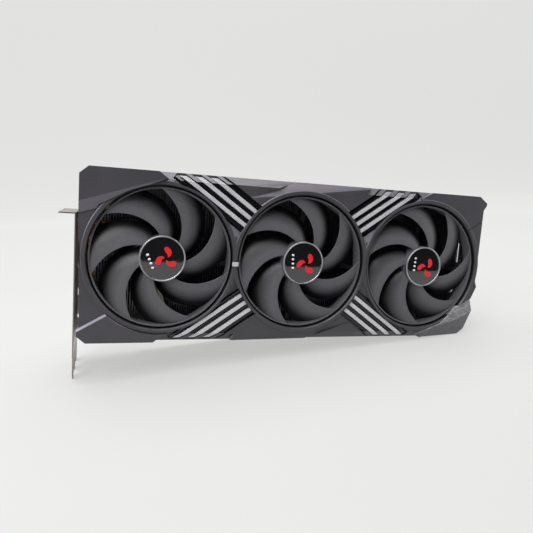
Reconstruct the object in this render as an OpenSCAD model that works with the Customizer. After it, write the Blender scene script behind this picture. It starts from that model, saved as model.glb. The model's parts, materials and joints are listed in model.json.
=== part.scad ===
// Triple-fan graphics card, 3.5 slots thick, built as the separate pieces that
// come apart on a bench.
//
// Card frame, in millimetres: +X runs from the slot bracket to the far end, +Z
// up from the edge connector to the top, and the fans face -Y. The origin is
// the edge connector's datum: the middle of the key notch, at the bottom edge
// of the contacts, in the middle of the board's thickness.
//
// Most pieces are drawn in plan: x along the card, y up, and z the height in
// front of the board's middle plane. plan() stands that drawing up in the frame.

/* [Fans] */
// Distance from one fan axis to the next
fan_pitch = 106; // [105.6:0.1:108]
// Radius of each opening in the shroud
opening_r = 51; // [50.6:0.1:51.2]
// Radius of the ring that joins the blade tips
ring_r = 49.9; // [49.5:0.1:50]
// Number of blades on each fan
blade_count = 7; // [5:1:9]
// Forward sweep of a blade from hub to tip, in degrees
blade_sweep = 46; // [20:1:55]
// Angle that one blade covers at the hub, in degrees
blade_width_hub = 50; // [35:1:50]
// Angle that one blade covers at the tip, in degrees
blade_width_tip = 38; // [25:1:48]
// Vertical thickness of a blade
blade_t = 1.7; // [1.2:0.1:2.2]
// Radius of the hub
hub_r = 16.3; // [15.8:0.1:17]

/* [Shroud] */
// Height of the shroud's main face in front of the board
face_h = 64.4; // [64:0.1:66]
// Height of the raised corner panels in front of the board
panel_h = 67; // [65.4:0.1:67]
// Half the height of the shroud, measured from the fan axes
half_h = 60.4; // [60:0.1:61]
// Thickness of the face plate and walls
wall_t = 2.2; // [1.8:0.1:2.4]
// Angle of the slats from the card's length, in degrees
slat_angle = 35; // [33:0.5:37]
// Width of each slat
slat_w = 2.9; // [2:0.1:3.6]
// Distance from one slat to the next
slat_pitch = 6.4; // [5.6:0.1:6.8]

/* [Cooler] */
// Distance from one fin to the next
fin_pitch = 1.9; // [1.6:0.1:3]
// Thickness of a fin
fin_t = 0.4; // [0.3:0.1:0.6]
// Diameter of each heat pipe
pipe_d = 7; // [6:0.5:7]
// Number of heat pipes
pipe_count = 7; // [4:1:7]

/* [Board] */
// Thickness of the circuit board
board_t = 1.57; // [1.4:0.01:1.7]
// Length of the circuit board from the bracket
board_len = 242; // [236:1:244]
// Thickness of the backplate
backplate_t = 1.2; // [1:0.1:1.5]

/* [Bracket] */
// Overall height of the slot bracket
bracket_h = 120.02;
// Thickness of the bracket's sheet
bracket_t = 0.86;
// Distance from one expansion slot to the next
slot_pitch = 20.32;
// Number of slots that the bracket covers
slot_count = 3;
// Width of a single-slot bracket
bracket_w = 18.42;
// Width of a bracket tongue
tongue_w = 10.19;

/* [Hidden] */
$fn = 64;

mid_x = 105;
axis_z = 77.5;
bracket_x = -59.05;
tongue_z = -14;
eps = 0.01;

// Heights in front of the board's middle plane, from back to front.
board_h = board_t / 2;
back_face = -3.3;
die_top = 2.95;
fin_back = 10;
fin_front = 45.4;
frame_back = 47.3;
duct_back = 50.3;
rotor_back = 52.6;
ring_front = 62.6;
shroud_back = 9;
channel_floor = face_h - 4;
channel_back = face_h - 5.4;
cap_front = 66.9;
chamfer = 5.4;
outer_r = opening_r + 2.2;
collar_reach = outer_r + 1.7;

// Stands a plan drawing up in the card frame.
module plan() rotate([90, 0, 0]) children();
// A plan drawing whose origin is on the middle fan's axis.
module face() translate([mid_x, 0, axis_z]) rotate([90, 0, 0]) children();
// A plan drawing whose origin is on the axis of fan i: -1, 0 or 1.
module fan(i) translate([mid_x + i * fan_pitch, 0, axis_z]) rotate([90, 0, 0]) children();
// A plain slab of a plan outline between two heights.
module slab(z0, z1) translate([0, 0, z0]) linear_extrude(z1 - z0) children();
// A profile drawn as [y, height], swept along x from x0 to x1.
module along_x(x0, x1) translate([x0, 0, 0]) rotate([90, 0, 90]) linear_extrude(x1 - x0) children();
// A tube between two heights.
module tube(r_out, r_in, z0, z1) {
    difference() {
        translate([0, 0, z0]) cylinder(r = r_out, h = z1 - z0);
        translate([0, 0, z0 - 1]) cylinder(r = r_in, h = z1 - z0 + 2);
    }
}
// A block in plan: lowest corner, size, and two heights.
module block(x, y, w, d, z0, z1) translate([x, y, z0]) cube([w, d, z1 - z0]);
// A block about its middle in plan.
module pad(x, y, w, d, z0, z1) translate([x - w / 2, y - d / 2, z0]) cube([w, d, z1 - z0]);

// ---------- shroud ----------

// The face's outline, clockwise from the top left corner.
module shroud_outline() {
    polygon([
        [-162.2, 55.2], [-156.2, half_h], [155.4, half_h], [163, 55.2], [163, 53],
        [160.4, 49], [160.2, -12], [162, -16.5], [157.6, -26.8], [163, -38],
        [156, -54], [149.4, -58.4], [112, -half_h], [-156.2, -half_h], [-162.2, -55.2],
        [-162.2, -51.4], [-160.4, -50], [-162.2, 28.9]
    ]);
}

module shroud_hollow() {
    polygon([
        [-158.7, 54], [-155, half_h - wall_t], [154, half_h - wall_t], [158.5, 54],
        [158.5, -20], [155.4, -26.8], [158.5, -33], [158.5, -36], [153.5, -53],
        [148.6, -56], [111, half_h * -1 + wall_t],
        [-155, half_h * -1 + wall_t], [-158.7, -54]
    ]);
}

// The sloped top edge of the face, sunk by drop.
module edge_slope(drop, reach = 116) {
    along_x(-reach, reach) {
        polygon([
            [half_h - chamfer - drop, face_h + 4],
            [half_h - chamfer - drop, face_h],
            [half_h + 1 - drop, face_h - chamfer - 1],
            [half_h + 4, face_h - chamfer - 1],
            [half_h + 4, face_h + 4]
        ]);
    }
}

// The two stretches of sloped edge that the face has, one each side of its facet.
module sloped_stretches() {
    intersection() {
        edge_slope(0);
        slab(face_h - chamfer - 2, face_h + 5) {
            polygon([[-115.6, 64], [-101.4, 54], [-24.8, 54], [2.6, 64]]);
            polygon([[50, 54], [98.1, 54], [116, 64], [55, 64]]);
        }
    }
}

// The band of one slat group: upper left, running down towards the middle fan.
module slat_band(inset = 0) {
    half = 12.4 - inset;
    translate([-42.6, 30.9]) rotate(180 - slat_angle) translate([-8, -half]) square([70, 2 * half]);
}

// Repeats a slat group in all four quadrants.
module four_ways() {
    for (flip_x = [0, 1], flip_y = [0, 1]) {
        mirror([flip_x, 0, 0]) mirror([0, flip_y, 0]) children();
    }
}

module openings(r) {
    for (i = [-1:1]) translate([i * fan_pitch, 0]) circle(r = r, $fn = 128);
}

module channel_shape(inset = 0, r = outer_r) {
    difference() {
        intersection() {
            slat_band(inset);
            square([220, 2 * half_h - 2 * inset], center = true);
        }
        openings(r + inset);
    }
}

// The sloped edge between the slats of one group, where the channel floor comes up to it.
module channel_stops() {
    intersection() {
        channel_shape();
        translate([-120, half_h - chamfer]) square([110, 12]);
        translate([-42.6, 30.9]) rotate(180 - slat_angle) {
            for (k = [-1.5:0.5]) translate([-8, k * slat_pitch - 1.3]) square([80, 2.2]);
        }
    }
}

// The long shallow facet above the middle fan, bounded by a crease on its left.
module face_facet() {
    intersection() {
        translate([-21.9, 49.3, face_h]) rotate([0, 0, 7.6]) rotate([-20, 0, 0])
            translate([-60, 0, 0]) cube([150, 30, 12]);
        slab(face_h - 6, face_h + 6) {
            polygon([[-44, 47.1], [2.3, 64], [58, 64], [58, 56], [-44, 44]]);
        }
    }
}

// The bevel on the side of a slat channel that is nearest the fan axes.
module channel_bevel() {
    intersection() {
        translate([-42.6, 30.9, face_h - 2.2]) rotate([0, 0, -slat_angle])
            translate([0, -12.4, 0]) rotate([-26, 0, 0]) translate([-60, -8, 0]) cube([90, 14, 10]);
        slab(face_h - 3, face_h + 6) {
            polygon([[-50, 0], [-106, 0], [-106, 62], [-42, 62], [-42, 20]]);
        }
    }
}

module end_trim_shape() {
    polygon([
        [137.2, -40.2], [142, -34.6], [157.6, -26.8], [163, -38], [156, -54],
        [149.4, -58.4], [112, -half_h], [106, -57], [116, -53.2], [128, -48.6]
    ]);
}

module upper_left_shape() {
    polygon([
        [-162.2, 55.2], [-156.2, half_h], [-110.5, half_h], [-104.4, 56.1],
        [-116.5, 50.7], [-129.8, 46], [-149.9, 35.1], [-150.5, 32.7], [-162.2, 28.9]
    ]);
}

module lower_left_shape() {
    difference() {
        polygon([
            [-162.2, -50.9], [-140.5, -38.4], [-106, -46], [-96, -53.5], [-104.4, -56.1],
            [-110.5, -half_h], [-156.2, -half_h], [-162.2, -55.2]
        ]);
        openings(collar_reach);
    }
}

// A collar that stands a little proud around each opening.
module collar() {
    rotate_extrude($fn = 128) {
        polygon([
            [opening_r, duct_back], [outer_r, duct_back], [outer_r, face_h - 1],
            [outer_r + 1.6, face_h - 1], [outer_r + 1.6, face_h + 0.3],
            [outer_r + 0.9, face_h + 0.9], [opening_r + 0.8, face_h + 0.9], [opening_r, face_h]
        ]);
    }
}

module boss_places() {
    for (a = [65, 115, 245, 295]) rotate(a) translate([55.4, 0, 0]) children();
}

module front_shroud() {
    color([0.24, 0.23, 0.26]) face() {
        difference() {
            union() {
                difference() {
                    slab(shroud_back, face_h) shroud_outline();
                    difference() {
                        slab(shroud_back - 1, face_h - wall_t) shroud_hollow();
                        for (flip = [0, 1]) mirror([0, flip, 0]) edge_slope(wall_t + 0.6);
                        for (turn = [0, 180]) rotate(turn) block(-50, 44, 110, 20, face_h - 4.4, face_h);
                    }
                }
                for (i = [-1:1]) translate([i * fan_pitch, 0, 0]) {
                    collar();
                    boss_places() tube(3.6, 1.25, duct_back, 57.6);
                }
            }
            for (i = [-1:1]) translate([i * fan_pitch, 0, duct_back - 1]) {
                cylinder(r = opening_r, h = 30, $fn = 128);
            }
            for (turn = [0, 180]) rotate(turn) sloped_stretches();
            four_ways() {
                slab(channel_back, face_h + 4) difference() {
                    channel_shape();
                    channel_stops();
                }
                difference() {
                    channel_bevel();
                    for (i = [-1:1]) translate([i * fan_pitch, 0, face_h - 8]) {
                        cylinder(r = outer_r + 0.8, h = 20, $fn = 128);
                    }
                }
            }
            for (turn = [0, 180]) rotate(turn) difference() {
                face_facet();
                translate([0, 0, face_h - 8]) cylinder(r = outer_r + 1.2, h = 20, $fn = 128);
            }
            slab(58, face_h + 4) end_trim_shape();
            // Air leaves through the top and bottom, behind the fans.
            for (x = [-146, -46, 52], side = [-1, 1]) {
                block(x, side > 0 ? 50 : -66, 92, 16, shroud_back - 1, side > 0 ? 36 : 40);
            }
            // A crease beside the right opening.
            translate([146.4, 31.2, face_h - 0.5]) rotate(29) cube([24, 0.6, 3]);
            // Slots through the end wall.
            for (slot = [[-26.8, 3.4], [-20, 16], [1.5, 18], [24, 18]]) {
                block(150, slot[0], 12, slot[1], 37, 40);
            }
            // The end towards the bracket is open behind the fans.
            block(-166, -47, 10, 94, shroud_back - 1, 40);
        }
    }
}

module upper_left_panel() {
    color([0.25, 0.24, 0.27]) face() {
        difference() {
            slab(face_h, panel_h) upper_left_shape();
            translate([-fan_pitch, 0, face_h - 1]) cylinder(r = collar_reach, h = 2, $fn = 128);
            translate([-162.2, 37, panel_h]) rotate([0, 0, 18.4]) rotate([14.5, 0, 0])
                translate([-10, -20, 0]) cube([80, 20, 10]);
        }
    }
}

module lower_left_panel() {
    color([0.25, 0.24, 0.27]) face() {
        difference() {
            slab(face_h, panel_h) lower_left_shape();
            translate([-162.2, -50.9, face_h]) rotate([0, 0, 30]) rotate([-64, 0, 0])
                translate([-10, -8, 0]) cube([60, 20, 10]);
        }
    }
}

// The faceted corner piece at the bottom of the far end.
module end_trim() {
    low = 58;
    rim = [
        [137.2, -40.2, 65.6], [142, -34.6, 65], [157.6, -26.8, 63.2], [163, -38, 60.6],
        [156, -54, 61], [149.4, -58.4, 61.6], [112, -half_h, 63], [106, -57, 64.6],
        [116, -53.2, 65.8], [128, -48.6, 65.8]
    ];
    count = len(rim);
    top = concat(rim, [[145.6, -41.4, 66]]);
    points = concat(top, [for (p = rim) [p[0], p[1], low]]);
    peak = count;
    base = count + 1;
    faces = concat(
        [for (i = [0:count - 1]) [i, (i + 1) % count, peak]],
        [for (i = [0:count - 1]) [i, base + i, (i + 1) % count]],
        [for (i = [0:count - 1]) [(i + 1) % count, base + i, base + (i + 1) % count]],
        [[for (i = [count - 1:-1:0]) base + i]]
    );
    color([0.42, 0.41, 0.43]) face() polyhedron(points, faces);
}

module slat_channels() {
    color([0.04, 0.04, 0.05]) face() {
        four_ways() {
            difference() {
                union() {
                    slab(channel_back, channel_floor) difference() {
                        channel_shape();
                        channel_stops();
                    }
                    slab(channel_back, face_h - 1.6) difference() {
                        intersection() {
                            channel_shape();
                            translate([-42.6, 30.9]) rotate(180 - slat_angle) {
                                for (k = [-1.5:1.5]) {
                                    translate([-8, k * slat_pitch - 0.7]) square([70, 1.4]);
                                }
                            }
                        }
                        channel_stops();
                    }
                }
                edge_slope(1.6);
            }
        }
    }
}

module slat_bars() {
    color([0.72, 0.72, 0.74]) face() {
        four_ways() {
            difference() {
                slab(channel_floor, face_h - 0.2) intersection() {
                    channel_shape(0.3, outer_r - 0.2);
                    translate([-42.6, 30.9]) rotate(180 - slat_angle) {
                        for (k = [-1:1]) translate([0, k * slat_pitch - slat_w / 2]) square([70, slat_w]);
                    }
                }
                edge_slope(0.3);
            }
        }
    }
}

module web_lug() {
    color([0.62, 0.62, 0.64]) face() {
        translate([-fan_pitch / 2, -2.6, 0]) pad(0, 0, 4.6, 3.2, face_h + 0.9, face_h + 1.6);
    }
}

// ---------- fans ----------

// How far through a blade's span radius r lies, from 0 at the hub to 1 at the ring.
function span(r) = (r - hub_r) / (ring_r - 1.2 - hub_r);
// Angle of the point t along a blade at radius r, from its front edge to its rear edge.
function blade_angle(r, t) =
    blade_sweep * span(r) - t * (blade_width_hub + (blade_width_tip - blade_width_hub) * span(r));
// Share of a blade's depth that it has dropped by t: nearly flat in front, then steeper.
function blade_drop(t) = 0.15 * t + 0.85 * pow(t, 2.5);
// Height of the same point.
function blade_height(r, t) =
    64 - 1.8 * span(r) - (10.2 - 1.6 * span(r)) * blade_drop(t);
function blade_point(r, t, down) =
    [r * cos(blade_angle(r, t)), r * sin(blade_angle(r, t)), blade_height(r, t) - down];

// The two triangles of a four-cornered patch.
function split(a, b, c, d) = [[a, b, c], [c, b, d]];

// One blade, as a closed skin over a grid of radii and chord steps.
module blade() {
    n_r = 7;
    n_t = 7;
    r0 = hub_r - 0.8;
    r1 = ring_r - 0.6;
    steps = n_t + 1;
    layer = (n_r + 1) * steps;
    points = [
        for (down = [0, blade_t], i = [0:n_r], j = [0:n_t])
            blade_point(r0 + (r1 - r0) * i / n_r, j / n_t, down * (1 - 0.45 * pow(2 * j / n_t - 1, 4)))
    ];
    function at(layer_no, i, j) = layer_no * layer + i * steps + j;
    faces = [
        for (i = [0:n_r - 1], j = [0:n_t - 1]) each concat(
            split(at(0, i, j), at(0, i + 1, j), at(0, i, j + 1), at(0, i + 1, j + 1)),
            split(at(1, i, j), at(1, i, j + 1), at(1, i + 1, j), at(1, i + 1, j + 1))
        ),
        for (j = [0:n_t - 1]) each concat(
            split(at(0, 0, j), at(0, 0, j + 1), at(1, 0, j), at(1, 0, j + 1)),
            split(at(0, n_r, j), at(1, n_r, j), at(0, n_r, j + 1), at(1, n_r, j + 1))
        ),
        for (i = [0:n_r - 1]) each concat(
            split(at(0, i, 0), at(1, i, 0), at(0, i + 1, 0), at(1, i + 1, 0)),
            split(at(0, i, n_t), at(0, i + 1, n_t), at(1, i, n_t), at(1, i + 1, n_t))
        )
    ];
    polyhedron(points, faces);
}

// Hub cup, blades and outer ring in one moulding. turn is the first blade's angle.
module rotor(i, turn) {
    color([0.09, 0.09, 0.1]) fan(i) {
        rotate_extrude() {
            polygon([
                [1.5, 61.4], [3.4, 61.4], [3.4, 62.6], [14.6, 62.6], [14.6, rotor_back],
                [hub_r, rotor_back], [hub_r, 65.2], [1.5, 65.2]
            ]);
        }
        rotate_extrude($fn = 128) {
            translate([ring_r - 1.2, rotor_back]) square([1.2, ring_front - rotor_back]);
        }
        for (k = [0:blade_count - 1]) rotate(turn + k * 360 / blade_count) blade();
    }
}

module hub_cap(i) {
    color([0.05, 0.05, 0.06]) fan(i) {
        translate([0, 0, 65.2]) cylinder(r = hub_r - 1.1, h = cap_front - 0.3 - 65.2);
    }
}

module cap_ring(i) {
    color([0.6, 0.6, 0.62]) fan(i) {
        rotate_extrude() {
            polygon([
                [hub_r - 1.1, 65.2], [hub_r, 65.2], [hub_r, cap_front - 0.4],
                [hub_r - 0.4, cap_front], [hub_r - 1.1, cap_front]
            ]);
        }
    }
}

module shaft(i) {
    color([0.75, 0.76, 0.78]) fan(i) translate([0, 0, 51]) cylinder(r = 1.5, h = 65.2 - 51);
}

module magnet_ring(i) {
    color([0.2, 0.2, 0.21]) fan(i) tube(14.6, 13.1, 53, 61);
}

module bearing(i) {
    color([0.72, 0.55, 0.3]) fan(i) tube(3, 1.53, 50.6, 60.6);
}

// Nine wound teeth on a laminated core.
module stator(i) {
    color([0.7, 0.4, 0.2]) fan(i) {
        tube(6, 4.7, 53, 60);
        for (k = [0:8]) rotate(k * 40) {
            block(5.9, -1, 5.2, 2, 54, 59);
            block(6.8, -1.9, 3.6, 3.8, 53.4, 59.6);
            block(11, -3, 1.2, 6, 53.8, 59.2);
        }
        tube(11.6, 4.7, duct_back, 51.5);
    }
}

// Ring, four swept spokes, motor plate and bearing tube.
module fan_frame(i) {
    color([0.1, 0.1, 0.11]) fan(i) {
        difference() {
            union() {
                tube(52.3, 50.4, frame_back, duct_back);
                translate([0, 0, frame_back]) cylinder(r = 16.6, h = duct_back - frame_back);
                for (a = [-5, 85, 175, 265]) rotate(a) block(15, -1.6, 36, 3.2, frame_back, duct_back - 0.4);
                translate([0, 0, frame_back]) cylinder(r = 4.6, h = 61 - frame_back);
                boss_places() translate([0, 0, frame_back]) cylinder(r = 3.6, h = duct_back - frame_back);
            }
            translate([0, 0, 50.6]) cylinder(r = 3, h = 20);
            boss_places() translate([0, 0, frame_back - 1]) cylinder(r = 1.4, h = 10);
        }
    }
}

// Flat lead from the motor plate, over the gap below the hub, to the rim of the frame.
module fan_lead(i) {
    color([0.85, 0.8, 0.66]) fan(i) {
        rotate(258) block(11.6, -1.2, 5.2, 2.4, duct_back, duct_back + 0.6);
        translate([-3.5, -16.4, 0]) rotate(290.5) block(-0.6, -1.2, 36.3, 2.4, duct_back, duct_back + 0.6);
    }
}

module fan_screws() {
    color([0.3, 0.3, 0.32]) for (i = [-1:1]) fan(i) boss_places() {
        translate([0, 0, frame_back]) cylinder(r = 1.25, h = 9);
        difference() {
            translate([0, 0, frame_back - 1.4]) cylinder(r = 2.3, h = 1.4);
            translate([0, 0, frame_back - 2.4]) cylinder(r = 0.9, h = 1.8, $fn = 6);
        }
    }
}

// ---------- heatsink ----------

fin_x0 = -46;
fin_x1 = 254;
fin_y0 = axis_z - 52.5;
fin_y1 = axis_z + 51.5;
pipe_h = fin_back + 2;

function pipe_y(k) = 35 + 12 * k;

module fin_stack() {
    count = floor((fin_x1 - fin_x0) / fin_pitch);
    color([0.66, 0.67, 0.7]) for (k = [0:count]) {
        translate([fin_x0 + k * fin_pitch, 0, 0]) rotate([90, 0, 90]) linear_extrude(fin_t) {
            difference() {
                polygon([
                    [-fin_back, fin_y0 + 2], [-fin_back, fin_y1 - 2], [-fin_back - 2, fin_y1],
                    [-fin_front + 3, fin_y1], [-fin_front, fin_y1 - 3], [-fin_front, fin_y0 + 3],
                    [-fin_front + 3, fin_y0], [-fin_back - 2, fin_y0]
                ]);
                for (p = [0:pipe_count - 1]) translate([-pipe_h, pipe_y(p)]) circle(d = pipe_d, $fn = 32);
            }
        }
    }
}

module heat_pipes() {
    color([0.72, 0.45, 0.3]) plan() for (p = [0:pipe_count - 1]) {
        translate([fin_x0 - 5, pipe_y(p), pipe_h]) rotate([0, 90, 0]) cylinder(d = pipe_d, h = 308, $fn = 32);
        translate([fin_x0 - 5, pipe_y(p), pipe_h]) sphere(d = pipe_d, $fn = 32);
        translate([fin_x0 + 303, pipe_y(p), pipe_h]) sphere(d = pipe_d, $fn = 32);
    }
}

gpu_x = 57;
gpu_y = 70;

module cold_plate() {
    color([0.78, 0.72, 0.66]) plan() {
        difference() {
            pad(gpu_x, gpu_y, 88, 88, die_top, fin_back);
            for (p = [0:pipe_count - 1]) translate([0, pipe_y(p), pipe_h]) rotate([0, 90, 0]) {
                cylinder(d = pipe_d, h = 120, $fn = 32);
            }
            for (sx = [-1, 1], sy = [-1, 1]) translate([gpu_x + sx * 39, gpu_y + sy * 41.4, 0]) {
                cylinder(d = 3, h = 8);
            }
        }
    }
}

// ---------- board ----------

module chip_places() {
    for (sx = [-1, 1], k = [-1.5:1:1.5]) translate([gpu_x + sx * 35, gpu_y + k * 16]) children();
    for (sy = [-1, 1], k = [-1, 1]) translate([gpu_x + k * 9, gpu_y + sy * 34.4]) rotate(90) children();
}

module memory_chips() {
    color([0.08, 0.08, 0.09]) plan() chip_places() pad(0, 0, 12, 14, board_h, 1.9);
}

module thermal_pads() {
    color([0.62, 0.66, 0.72]) plan() chip_places() pad(0, 0, 11, 13, 1.9, die_top);
}

module gpu_package() {
    color([0.12, 0.32, 0.2]) plan() pad(gpu_x, gpu_y, 50, 50, board_h, 2.2);
}

module gpu_die() {
    color([0.35, 0.36, 0.42]) plan() pad(gpu_x, gpu_y, 25, 27, 2.2, die_top);
}

coil_xs = [-6, 118];

module power_inductors() {
    color([0.25, 0.25, 0.27]) plan() for (x = coil_xs, k = [0:7]) {
        pad(x, 26 + k * 10.6, 8.4, 8.4, board_h + 0.3, 7);
        pad(x, 26 + k * 10.6, 9.4, 5, board_h, board_h + 0.9);
    }
}

module power_stages() {
    color([0.07, 0.07, 0.08]) plan() for (x = coil_xs, k = [0:7]) {
        pad(x + (x < gpu_x ? -9 : 9), 26 + k * 10.6, 5, 6, board_h, board_h + 0.9);
    }
}

module capacitors() {
    color([0.2, 0.2, 0.22]) plan() for (x = [140, 150, 160], k = [0:5]) {
        translate([x, 30 + k * 10, board_h]) cylinder(d = 6.6, h = 7.4);
    }
}

module fan_headers() {
    color([0.88, 0.87, 0.82]) plan() for (y = [40, 56, 72]) difference() {
        pad(171, y, 4.6, 9.6, board_h, 6.2);
        pad(171, y, 3.2, 8.2, 2.6, 8);
    }
}

socket_x = 150;
socket_top = 127;
socket_h0 = board_h;

module power_socket() {
    color([0.06, 0.06, 0.07]) plan() difference() {
        union() {
            block(socket_x - 10.5, 112.6, 21, socket_top - 112.6, socket_h0, 9.4);
            block(socket_x - 2.2, 116, 4.4, 6, 9.4, 9.9);
        }
        for (k = [0:5], row = [0:1]) {
            block(socket_x - 9.2 + k * 3.1, 116, 2.5, 20, 2.9 + row * 3.2, 5.4 + row * 3.2);
        }
        for (k = [0:3]) block(socket_x - 4.6 + k * 2.3, 118, 1.4, 20, 1.2, 2.3);
    }
}

module power_pins() {
    color([0.85, 0.7, 0.35]) plan() for (k = [0:5], row = [0:1]) {
        block(socket_x - 8.35 + k * 3.1, 116, 0.8, 8, 3.75 + row * 3.2, 4.55 + row * 3.2);
    }
}

module circuit_board() {
    color([0.03, 0.05, 0.05]) plan() difference() {
        slab(-board_h, board_h) {
            difference() {
                polygon([
                    [bracket_x + 1.9, 10], [-14, 10], [-12.8, 8.5], [-12.8, 0.6], [-12.2, 0],
                    [-1.5, 0], [-0.95, 0.6], [-0.95, 7.6], [0.95, 7.6], [0.95, 0.6], [1.5, 0],
                    [72.4, 0], [73, 0.6], [73, 7], [75.6, 7], [75.6, 2.6], [82, 2.6], [82, 10],
                    [bracket_x + board_len, 10], [bracket_x + board_len, 118],
                    [bracket_x + board_len - 3, 121], [bracket_x + 1.9, 121]
                ]);
                for (sx = [-1, 1], sy = [-1, 1]) {
                    translate([gpu_x + sx * 39, gpu_y + sy * 41.4]) circle(d = 3.2);
                }
                translate([-54, 16]) circle(d = 2.5);
            }
        }
    }
}

module edge_contacts() {
    color([0.9, 0.72, 0.3]) plan() for (k = [0:81]) {
        x = k < 11 ? -12 + k : -10 + k;
        for (side = [-1, 1]) {
            pad(x, 3.1, 0.7, 4.4, side * board_h - 0.02 + side * 0.02, side * board_h + 0.02 + side * 0.02);
        }
    }
}

// Stiffening rim between the board and the shroud's edges.
module board_frame() {
    color([0.13, 0.13, 0.14]) plan() difference() {
        slab(board_h, 7.6) difference() {
            polygon([[-36, 13], [180, 13], [180, 118], [-36, 118]]);
            polygon([[-33, 16], [177, 16], [177, 115], [-33, 115]]);
        }
        block(socket_x - 12, 100, 24, 30, 0, 10);
    }
}

// ---------- back ----------

back_holes = [
    [gpu_x - 39, gpu_y - 41.4], [gpu_x + 39, gpu_y - 41.4],
    [gpu_x - 39, gpu_y + 41.4], [gpu_x + 39, gpu_y + 41.4]
];
far_holes = [[259.6, 29], [259.6, 126]];

module backplate() {
    color([0.16, 0.16, 0.17]) plan() difference() {
        union() {
            slab(back_face - backplate_t, back_face) {
                polygon([
                    [-56, 20], [-50, 14], [250, 14], [264, 24], [264, 130], [257, 136],
                    [-50, 136], [-56, 130]
                ]);
            }
            for (p = back_holes) translate([p[0], p[1], back_face - 0.4]) {
                cylinder(d = 6, h = -board_h - back_face + 0.4);
            }
            for (p = far_holes) translate([p[0], p[1], back_face - 0.4]) cylinder(d = 7, h = fin_back);
            slab(back_face - 0.4, -board_h) for (x = [-50, 60, 172]) translate([x, 124]) square([8, 4]);
        }
        for (p = back_holes) translate([p[0], p[1], -10]) cylinder(d = 3, h = 20);
        for (p = far_holes) translate([p[0], p[1], -10]) cylinder(d = 2.5, h = 30);
        // Flow-through slots behind the far fan.
        for (k = [0:9], row = [0:3]) {
            pad(196 + k * 5.6, 39 + row * 24 + (k % 2) * 3, 2.6, 18, -10, 0);
        }
        // Two slanted grooves across the back.
        for (x = [20, 32]) translate([x, 10, back_face - backplate_t - 1]) rotate([0, 0, 60]) {
            block(0, 0, 170, 2.4, 0, 1.5);
        }
    }
}

module screw(d, length, head_d, head_h) {
    cylinder(d = d, h = length);
    difference() {
        translate([0, 0, -head_h]) cylinder(d = head_d, h = head_h);
        translate([0, 0, -head_h - 1]) cylinder(d = head_d * 0.4, h = head_h * 0.5 + 1, $fn = 6);
    }
}

module backplate_screws() {
    color([0.55, 0.55, 0.57]) plan() {
        for (p = back_holes) translate([p[0], p[1], back_face - backplate_t]) screw(3, 11.2, 5.4, 1.4);
        for (p = far_holes) translate([p[0], p[1], back_face - backplate_t]) screw(2.5, 8, 4.8, 1.3);
    }
}

// ---------- bracket and ports ----------

bracket_y1 = 3.3;
bracket_span = bracket_w + (slot_count - 1) * slot_pitch;
tab_len = 11.43;
displayport_ys = [31, 52, 73];
hdmi_y = 91;
port_h = board_h + 2.5;

module dp_shape(grow = 0) {
    square_w = 16.2 + 2 * grow;
    half_t = 2.45 + grow;
    polygon([
        [-half_t, -square_w / 2], [half_t - 1.4, -square_w / 2], [half_t, 1.4 - square_w / 2],
        [half_t, square_w / 2], [-half_t, square_w / 2]
    ]);
}

module hdmi_shape(grow = 0) {
    half_t = 2.3 + grow;
    half_w = 7.1 + grow;
    polygon([
        [-half_t, -half_w + 2], [-half_t + 2, -half_w], [half_t, -half_w], [half_t, half_w],
        [-half_t + 2, half_w], [-half_t, half_w - 2]
    ]);
}

// Draws a shape given as [height, y] on the bracket and sweeps it along x.
module through_bracket(y, x0, x1) {
    translate([x0, -port_h, y]) rotate([90, 0, 90]) linear_extrude(x1 - x0) mirror([1, 0]) children();
}

module slot_bracket() {
    top = tongue_z + bracket_h;
    y0 = bracket_y1 - bracket_span;
    x0 = bracket_x - bracket_t;
    color([0.5, 0.47, 0.45]) {
        difference() {
            union() {
                translate([x0, y0, 3]) cube([bracket_t, bracket_span, top - 3]);
                translate([bracket_x - tab_len, y0, top - bracket_t]) {
                    cube([tab_len, bracket_span, bracket_t]);
                }
                for (k = [0:slot_count - 1]) {
                    translate([x0, y0 + k * slot_pitch + (bracket_w - tongue_w) / 2, tongue_z + 2]) {
                        cube([bracket_t, tongue_w, 16]);
                    }
                    translate([x0, y0 + k * slot_pitch + bracket_w / 2 - 3.2, tongue_z]) {
                        cube([bracket_t, 6.4, 3]);
                    }
                }
                // Two feet that the board's corner screws hold.
                for (z = [12, 99.5]) translate([x0, -board_h - 0.8, z]) cube([10, 0.8, z > 50 ? 4 : 8]);
            }
            for (k = [0:slot_count - 1]) {
                translate([bracket_x - tab_len, y0 + k * slot_pitch + bracket_w / 2, top - 2]) {
                    translate([4.2, 0, 0]) cylinder(d = 4.42, h = 4);
                    translate([-1, -2.21, 0]) cube([5.2, 4.42, 4]);
                }
            }
            translate([-54, 0, 16]) rotate([90, 0, 0]) cylinder(d = 2.5, h = 4);
            for (z = displayport_ys) through_bracket(z, x0 - 1, bracket_x + 1) dp_shape(0.2);
            through_bracket(hdmi_y, x0 - 1, bracket_x + 1) hdmi_shape(0.2);
            // Round vents over the two slots that carry no ports.
            for (col = [0:7], row = [0:14]) {
                translate([x0 - 1, y0 + 4.2 + col * 4.9, 16.5 + row * 5.6 + (col % 2) * 2.8]) {
                    rotate([0, 90, 0]) cylinder(d = 4.2, h = 3, $fn = 24);
                }
            }
        }
    }
}

module bracket_screws() {
    color([0.6, 0.6, 0.62]) translate([-54, -board_h - 0.8, 16]) {
        rotate([-90, 0, 0]) screw(2.5, 0.8 + board_t, 4.4, 1.2);
    }
}

module displayport_shells() {
    color([0.78, 0.78, 0.8]) for (z = displayport_ys) difference() {
        through_bracket(z, bracket_x - 2, bracket_x + 17) dp_shape();
        through_bracket(z, bracket_x - 3, bracket_x + 15) dp_shape(-0.4);
    }
}

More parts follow.
